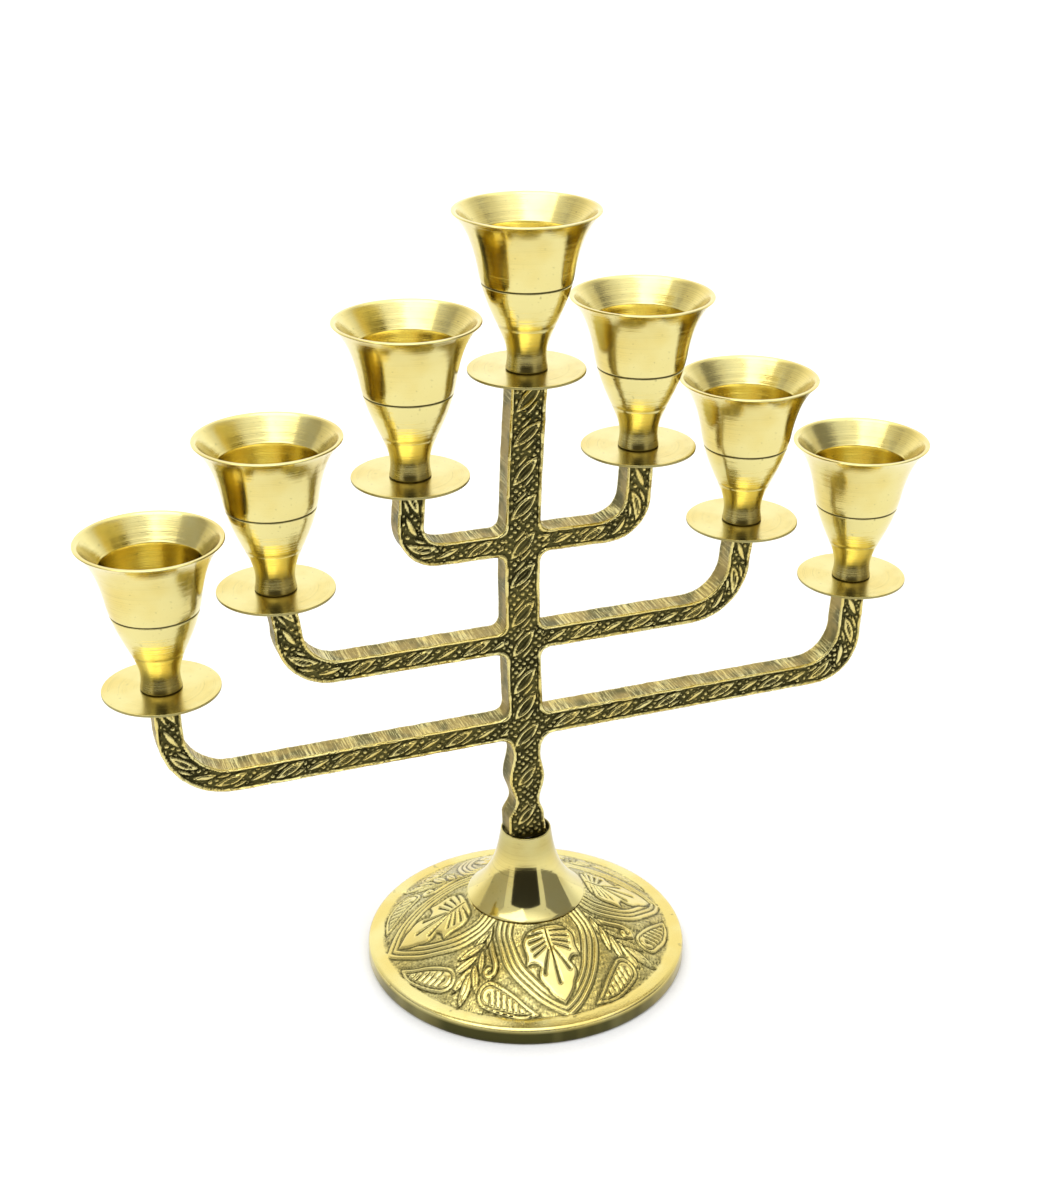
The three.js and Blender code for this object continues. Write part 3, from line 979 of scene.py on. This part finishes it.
def build_casting():
    x, z, faces, rim = casting_grid()
    border = settle(x, z, faces, rim)
    drop = edge_round(casting_edge(x, z))
    layers, shades = [], []
    for sign, seed in ((-1, 0), (1, 5)):
        depth, shade = casting_relief(x, z, seed)
        layers.append(np.stack([x, sign * (HALF_SLAB - drop - depth), z], axis=1))
        shades.append(shade)
    count = len(x)
    all_faces = [faces, faces[:, ::-1] + count]
    # The plain sides: rows of points between the two faces, with a shallow filed waviness.
    rim_points = np.unique(border)
    place = np.full(count, -1)
    place[rim_points] = np.arange(len(rim_points))
    rim_x, rim_z = x[rim_points], z[rim_points]
    gx, gz = slope(rim_x, rim_z)
    # The plain sides carry uneven patina, and painted light: their tops are painted lighter than the upright
    # sides and the undersides.
    blotch = 0.13 * wobble(rim_x, rim_z, 14, 41) + 0.1 * wobble(rim_x, rim_z, 5, 42)
    patina_and_top_light = np.clip(0.8 - 0.2 * ease(-gz, 0.3, 0.9) + blotch, 0, 1)
    rows = [border]
    start = 2 * count
    for y in (-SIDE_ROW, 0.0, SIDE_ROW):
        wave = 0.05 * wobble(rim_x, rim_z, 3, 40) + 0.05
        push = wave + (0.06 if y == 0 else 0)
        layers.append(np.stack([rim_x + push * gx, np.full(len(gx), y), rim_z + push * gz], axis=1))
        shades.append(patina_and_top_light)
        rows.append(place[border] + start)
        start += len(rim_points)
    rows.append(border + count)
    filed = np.zeros(start)
    filed[2 * count :] = 1
    for near, far in zip(rows, rows[1:]):
        all_faces.append(np.stack([near[:, 1], near[:, 0], far[:, 0], far[:, 1]], axis=1))
    piece(
        "arms",
        np.concatenate(layers),
        np.concatenate(all_faces).tolist(),
        ARM_BRASS,
        "stand",
        ["arm_casting"],
        fields={"cavity": np.concatenate(shades), "filed": filed},
        sharp=70,
    )


# ---- Base dome ----

# Half width of a medallion along its axis, as (radius, half width).
MEDALLION = (
    *((18.0, 14.0), (22.0, 16.3), (26.0, 17.7), (31.0, 17.4), (35.0, 16.0)),
    *((38.5, 13.7), (42.0, 10.5), (45.0, 6.8), (47.0, 3.7), (48.9, 0.0)),
)
MEDALLION_LINES = ((0.0, 0.52), (1.9, 0.45), (3.5, 0.45), (5.4, 0.52))
# The leaf inside a medallion is one half and its mirror image. Each edge of the half runs from corner
# to corner, as (sideways, outward): root to shoulder, shoulder to notch, and notch to tip.
LEAF_EDGES = (
    ((0.0, 21.0), (5.0, 21.5), (8.0, 24.0), (8.0, 28.0), (9.0, 31.0)),
    ((9.0, 31.0), (6.5, 31.0), (4.5, 32.5)),
    ((4.5, 32.5), (5.5, 35.5), (4.0, 39.5), (0.0, 44.5)),
)
LEAF_SCALLOPS = (2, 0, 2)
SCALLOP_DEPTH = 0.45
# Its veins: a midrib up to the heart, a fan of three above it, and side veins that open like a hand.
LEAF_HEART = 27.5
FAN_LENGTH = 10.5
FAN_ANGLE = 24
SIDE_VEINS = 4
SIDE_VEIN_LENGTH = 5.3
SIDE_VEIN_START = 22.5
SIDE_VEIN_SPACING = 1.3
SIDE_VEIN_TURN = 9
# Blades of the spray between two medallions: foot, tip and half width, beside the spray's axis.
BLADES = (
    ((-0.8, 37.4), (0.6, 47.9), 1.5),
    ((-0.9, 35.4), (-3.8, 44.4), 1.15),
    ((-0.9, 31.6), (-6.2, 40.0), 1.2),
    ((-0.7, 28.0), (-6.4, 34.8), 1.05),
    ((-0.6, 24.6), (-3.6, 30.2), 0.8),
    ((-0.5, 34.2), (3.4, 42.2), 1.15),
    ((-0.4, 30.0), (2.8, 36.6), 0.8),
    ((-0.5, 22.0), (0.4, 29.0), 0.7),
)
TENDRIL = ((0.2, 26.0), (2.8, 29.4), (6.0, 32.4), (7.0, 35.2), (5.4, 36.8), (3.9, 35.6), (4.8, 34.2))
# The paisley's middle line, as (degrees from the medallion's axis, radius).
PAISLEY = ((33.5, 42.3), (28.5, 43.3), (24.0, 44.4), (18.5, 45.9), (11.5, 47.5))
PAISLEY_RADIUS = 4.1


def dome_height(r):
    """Height of the dome's flank: a straight cone that swells a little towards its foot."""
    t = (r - DOME_CROWN) / (DOME_FLANK - DOME_CROWN)
    crown = DOME_TOP - 0.05
    return crown + (DOME_FLANK_HEIGHT - crown) * t + DOME_BULGE * math.sin(math.pi * t * t)


def base_profile():
    outside = [
        (ENGRAVED_FROM, DOME_TOP),
        *[(r, dome_height(r)) for r in np.linspace(DOME_CROWN, DOME_FLANK, 77)],
        *straight((48.1, 6.35), (52.37, 5.8), 0.7),
        (52.1, 5.8),
        (52.6, 5.6),
        (53.0, 5.2),
        (53.2, 4.6),
        *straight((FOOT, 3.9), (FOOT, 0.3), 0.5),
        (FOOT - 0.3, 0),
    ]
    under = [
        (50.6, 0),
        (50.6, 3.4),
        *straight((50.0, 3.5), (46.0, 5.0), 2),
        *straight((46.0, 5.0), (37.6, 9.9), 2),
        *straight((37.6, 9.9), (19.2, DOME_TOP - DOME_WALL), 2.4),
        (19.2, DOME_TOP - DOME_WALL),
        *straight((18.8, DOME_TOP - DOME_WALL), (BORE, DOME_TOP - DOME_WALL), 4),
        (BORE, DOME_TOP - DOME_WALL),
        (BORE, DOME_TOP),
    ]
    return list(reversed([*outside, *under]))


def leaf_outline():
    """The vine leaf's closed outline, its edges bulging out in scallops."""
    half = []
    for edge, scallops in zip(LEAF_EDGES, LEAF_SCALLOPS):
        line = spline(edge, 0.5)
        for i, (across, out) in enumerate(line[:-1]):
            bulge = SCALLOP_DEPTH * abs(math.sin(math.pi * scallops * i / (len(line) - 1)))
            half.append((across + bulge * min(across, 1), out))
    return [*half, LEAF_EDGES[-1][-1], *[(-across, out) for across, out in reversed(half[1:])]]


def leaf_veins():
    """Each vein as its root, its end and its half width there."""
    veins = [((0, SIDE_VEIN_START - 1), (0, LEAF_HEART), 0.35)]
    for side in (-1, 0, 1):
        angle = math.radians(FAN_ANGLE * side)
        length = FAN_LENGTH * (1 - 0.25 * abs(side))
        root = (0.8 * side, LEAF_HEART)
        veins.append((root, (root[0] + length * math.sin(angle), LEAF_HEART + length * math.cos(angle)), 0.7))
    for side in (-1, 1):
        for step in range(SIDE_VEINS):
            angle = math.radians(SIDE_VEIN_TURN * step)
            root = (1.2 * side, SIDE_VEIN_START + SIDE_VEIN_SPACING * step)
            end = (
                root[0] + side * SIDE_VEIN_LENGTH * math.cos(angle),
                root[1] + SIDE_VEIN_LENGTH * math.sin(angle),
            )
            veins.append((root, end, 0.53))
    return veins


def stroke(distance, half):
    """Depth of a soft engraved line."""
    return np.exp(-((distance / half) ** 2))


def add_spray(groove, covered, spray_x, spray_y, outside):
    """The spray between medallions: blades on one side and a curled tendril on the other."""
    for foot, tip, width in BLADES:
        dx, dy = tip[0] - foot[0], tip[1] - foot[1]
        length = math.hypot(dx, dy) / 2
        px, py = spray_x - (foot[0] + tip[0]) / 2, spray_y - (foot[1] + tip[1]) / 2
        p, q = (px * dx + py * dy) / (2 * length), (py * dx - px * dy) / (2 * length)
        rim = pointed(p, q, length, width)
        free = outside & (covered < 0.5)
        groove = np.where(free, np.maximum(groove, stroke(rim + 0.25, 0.42)), groove)
        middle = stroke(q, 0.22) * ease(length - np.abs(p), 0.8, 2) * (rim > 0.2)
        groove = np.where(free, np.maximum(groove, 0.8 * middle), groove)
        covered = np.maximum(covered, ease(rim, -0.3, 0.1))
    _, side = along(spray_x, spray_y, spline(TENDRIL, 0.8))
    free = outside & (covered < 0.5)
    groove = np.where(free, np.maximum(groove, stroke(np.abs(side) - 0.95, 0.4)), groove)
    covered = np.maximum(covered, ease(-np.abs(side), -0.9, -0.6) * free)
    return groove, covered


def add_paisley(groove, covered, half_across, out, outside):
    """The ribbed paisley by the rim."""
    turns = [(math.radians(angle), radius) for angle, radius in PAISLEY]
    middle = spline([(radius * math.sin(a), radius * math.cos(a)) for a, radius in turns], 1.0)
    total = sum(math.dist(a, b) for a, b in zip(middle, middle[1:]))
    run, side = along(half_across, out, middle)
    within = PAISLEY_RADIUS * (1 - np.clip(run / total, 0, 1) ** 2.2) - np.abs(side)
    near = within > -0.75
    ribs = ease(np.cos(2 * math.pi * (run + 0.5 * side) / 2.2), -0.1, 0.8) * ease(within, 1.5, 1.9)
    lines = np.maximum(stroke(within, 0.42), stroke(within - 1.35, 0.36))
    groove = np.where(near & outside, np.maximum(lines, 0.85 * ribs), groove)
    covered = np.maximum(covered, ease(within, -0.3, 0.1))
    return groove, covered


def engraving(x, y):
    """Groove strength and lowered ground over the dome, from the top view."""
    x = x + 0.35 * wobble(x, y, 15, 51)
    y = y + 0.35 * wobble(x, y, 15, 52)
    r = np.hypot(x, y)
    turn = np.degrees(np.arctan2(-x, -y)) - PATTERN_TURN
    turn = (turn + 45) % 90 - 45
    across, out = -r * np.sin(np.radians(turn)), r * np.cos(np.radians(turn))
    half_across = np.abs(across)
    outline = [(radius * math.sin(w / radius), radius * math.cos(w / radius)) for radius, w in MEDALLION]
    _, inner = along(half_across, out, spline(outline, 1.2))
    beyond = -inner
    groove = np.zeros(r.shape)
    for offset, half in MEDALLION_LINES:
        groove = np.maximum(groove, stroke(inner - offset, half))
    # The vine leaf and its veins.
    leaf_in = signed_distance(across, out, leaf_outline())
    groove = np.where(leaf_in > -0.9, np.maximum(groove * (leaf_in < 0), 0), groove)
    groove = np.maximum(groove, stroke(leaf_in + 0.4, 0.55))
    for root, end, half in leaf_veins():
        run, side = along(across, out, (root, end))
        widening = 0.2 + (half - 0.2) * run / math.dist(root, end)
        groove = np.maximum(groove, np.exp(-((side / widening) ** 4)))
    beside = np.radians((np.degrees(np.arctan2(-x, -y)) - PATTERN_TURN) % 90 - 45)
    outside = beyond > 0.7
    covered = np.zeros(r.shape)
    groove, covered = add_spray(groove, covered, -r * np.sin(beside), r * np.cos(beside), outside)
    groove, covered = add_paisley(groove, covered, half_across, out, outside)
    # What is left is stippled ground.
    ground = np.where(beyond > 0.4, 1 - covered, 0)
    ground = np.maximum(ground, ease(inner, 5.9, 6.3) * (1 - ease(leaf_in, -0.8, -0.3)))
    fade = ease(r, ENGRAVED_FROM, ENGRAVED_FROM + 1) * (1 - ease(r, ENGRAVED_TO - 0.5, ENGRAVED_TO))
    rim_line = stroke(r - ENGRAVED_TO, 0.3)
    return np.maximum(groove * fade, 0.3 * rim_line), ground * fade


def build_base():
    points, faces = turned(soften(base_profile(), 0.2, True), BASE_SIDES, True)
    x, y, z = points.T
    r = np.hypot(x, y)
    cavity = np.zeros(len(points))
    top = (z > np.interp(r, [0, 19, 47, 54], [21.6, 21.6, 5.6, 5.0])) & (r > ENGRAVED_FROM - 0.2)
    groove, ground = engraving(x[top], y[top])
    stipple = wobble(x[top], y[top], 1.5, 61) * wobble(x[top], y[top], 1.9, 62)
    depth = GROOVE_DEPTH * groove + ground * (0.24 + 0.14 * stipple)
    slant = 0.5 * ease(r[top], 19, 22)
    points[top, 2] -= depth * (1 - 0.13 * slant)
    points[top, 0] -= depth * slant * x[top] / np.maximum(r[top], 1)
    points[top, 1] -= depth * slant * y[top] / np.maximum(r[top], 1)
    cavity[top] = np.clip(np.maximum(0.85 * groove, ground * (0.52 + 0.3 * stipple)), 0, 1)
    # The plain band has a few scuffs. The skirt below it is painted dark: a little uneven tarnishing all
    # round, and a painted dark reflection that is strongest on the side towards the front view.
    scuff = ease(wobble(x, y, 9, 71) * wobble(x, y, 4, 72), 0.4, 0.8)
    cavity = np.where((r > 49) & (z > 4), np.maximum(cavity, 0.5 * scuff), cavity)
    facing = (VIEW_TOWARDS[0] * x + VIEW_TOWARDS[1] * y) / np.maximum(r, 1)
    skirt_tarnishing_and_painted_reflection = 0.3 + 0.68 * ease(facing, 0.2, 0.85) + 0.14 * wobble(x, y, 26, 74) + 0.08 * wobble(x, y, 8, 75)
    skirt_tarnishing_and_painted_reflection = np.where(r > 52.9, np.clip(skirt_tarnishing_and_painted_reflection, 0, 1) * (1 - ease(z, 4.2, 5.2)), 0)
    piece(
        "base",
        points,
        faces,
        BASE_BRASS,
        "stand",
        ["base_dome"],
        fields={"cavity": cavity, "skirt_tarnishing_and_painted_reflection": skirt_tarnishing_and_painted_reflection},
        sharp=45,
    )


# ---- Base fittings ----


def build_fittings():
    low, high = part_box("tie_stud")
    points, faces = threaded(STUD_RADIUS, 0, (high.z - low.z) / MM)
    piece("tie_rod", points, faces, STEEL, "stand", ["tie_stud"], at=(0, 0, low.z / MM))
    low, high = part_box("base_washer")
    radius, thick = high.x / MM, (high.z - low.z) / MM
    ring = soften([(BORE, 0), (radius, 0), (radius, thick), (BORE, thick)], 0.25, True)
    points, faces = turned(ring, 96, True)
    none = np.zeros(len(points))
    piece(
        "washer",
        points,
        faces,
        PAN_BRASS,
        "stand",
        ["base_washer"],
        at=(0, 0, low.z / MM),
        fields={"cavity": none},
    )
    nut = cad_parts["base_nut"]
    nut.data.materials.clear()
    nut.data.materials.append(PAN_BRASS)
    bevel = nut.modifiers.new("worn corners", "BEVEL")
    bevel.width = 0.25 * MM
    bevel.segments = 2
    bevel.limit_method = "ANGLE"


# ---- Setting ----


def area_light(name, place, target, size, power):
    data = bpy.data.lights.new(name, "AREA")
    data.shape = "RECTANGLE"
    data.size, data.size_y = size
    data.energy = power
    light = bpy.data.objects.new(name, data)
    light.location = place
    direction = np.array(target, float) - np.array(place, float)
    light.rotation_euler = Vector(direction).to_track_quat("-Z", "Y").to_euler()
    bpy.context.scene.collection.objects.link(light)


def build_studio(scene):
    """A white light tent, brightest overhead and behind."""
    scene.world = bpy.data.worlds.new("studio")
    s = Nodes(scene.world)
    direction = s.node("ShaderNodeTexCoord").outputs["Generated"]

    def share(axis):
        """How far a direction points along an axis."""
        made = s.node("ShaderNodeVectorMath", operation="DOT_PRODUCT")
        s.link(direction, made.inputs[0])
        made.inputs[1].default_value = axis
        return made.outputs["Value"]

    overhead = s.ramp(share((0, 0, 1)), 0.72, 0.88, 0.93, 1.8)
    behind = s.ramp(share((-VIEW_TOWARDS[0], -VIEW_TOWARDS[1], 0)), 0.35, 0.75, 1.0, 1.55)
    background = s.node("ShaderNodeBackground")
    background.inputs["Color"].default_value = (1, 1, 1, 1)
    s.link(s.sum("MULTIPLY", overhead, behind), background.inputs["Strength"])
    output = s.node("ShaderNodeOutputWorld")
    s.link(background.outputs[0], output.inputs[0])


def studio_card(name, angle, distance, half_width, height, shade):
    """An upright card, seen only in the polished brass. The angle is from the front, towards the right."""
    turn = math.radians(angle)
    across, towards = np.array(VIEW_ACROSS), np.array(VIEW_TOWARDS)
    middle = distance * (towards * math.cos(turn) + across * math.sin(turn))
    level = across * math.cos(turn) - towards * math.sin(turn)
    corners = []
    for side, z in ((-half_width, 0), (half_width, 0), (half_width, height), (-half_width, height)):
        x, y = middle + level * side
        corners.append((x, y, z))
    mesh = bpy.data.meshes.new(name)
    mesh.from_pydata(corners, [], [(0, 1, 2, 3)])
    s = Shader(name)
    weave = s.noise(s.coordinates(), 300, 2)
    colour = s.blend(weave, (0.9 * shade,) * 3, (1.1 * shade,) * 3)
    mesh.materials.append(s.finish(colour, 0.9, s.bump(weave, 0.2), 0.0))
    card = bpy.data.objects.new(name, mesh)
    card.visible_camera = False
    card.visible_diffuse = False
    card.visible_shadow = False
    bpy.context.scene.collection.objects.link(card)


def build_setting():
    scene = bpy.context.scene
    scene.view_settings.view_transform = "Standard"
    build_studio(scene)
    mesh = bpy.data.meshes.new("table")
    rim = arc((0, 0), 30, 0, 360, 96)[:-1]
    mesh.from_pydata([(x, y, 0) for x, y in rim], [], [tuple(range(len(rim)))])
    mesh.materials.append(paper("table_white"))
    floor = bpy.data.objects.new("table", mesh)
    floor.location.z = -0.0002
    scene.collection.objects.link(floor)
    studio_card("dark_card", 0, 1.2, 0.92, 1.3, 0.005)
    studio_card("left_card", -80, 1.3, 0.62, 1.3, 0.4)
    studio_card("right_card", 78, 1.3, 0.66, 1.3, 0.22)
    area_light("soft_key", (-0.5, -0.35, 1.6), (0, 0, 0.12), (1.2, 1.2), 7)
    camera = bpy.data.objects.new("camera", bpy.data.cameras.new("camera"))
    camera.data.lens = CAMERA_LENS
    camera.data.sensor_width = 36
    camera.data.clip_start = 0.01
    camera.location = CAMERA_PLACE
    camera.rotation_euler = (math.radians(90 - CAMERA_DOWN), 0, math.radians(-CAMERA_RIGHT))
    scene.collection.objects.link(camera)
    scene.camera = camera


build_branches()
build_neck()
build_casting()
build_base()
build_fittings()
build_setting()
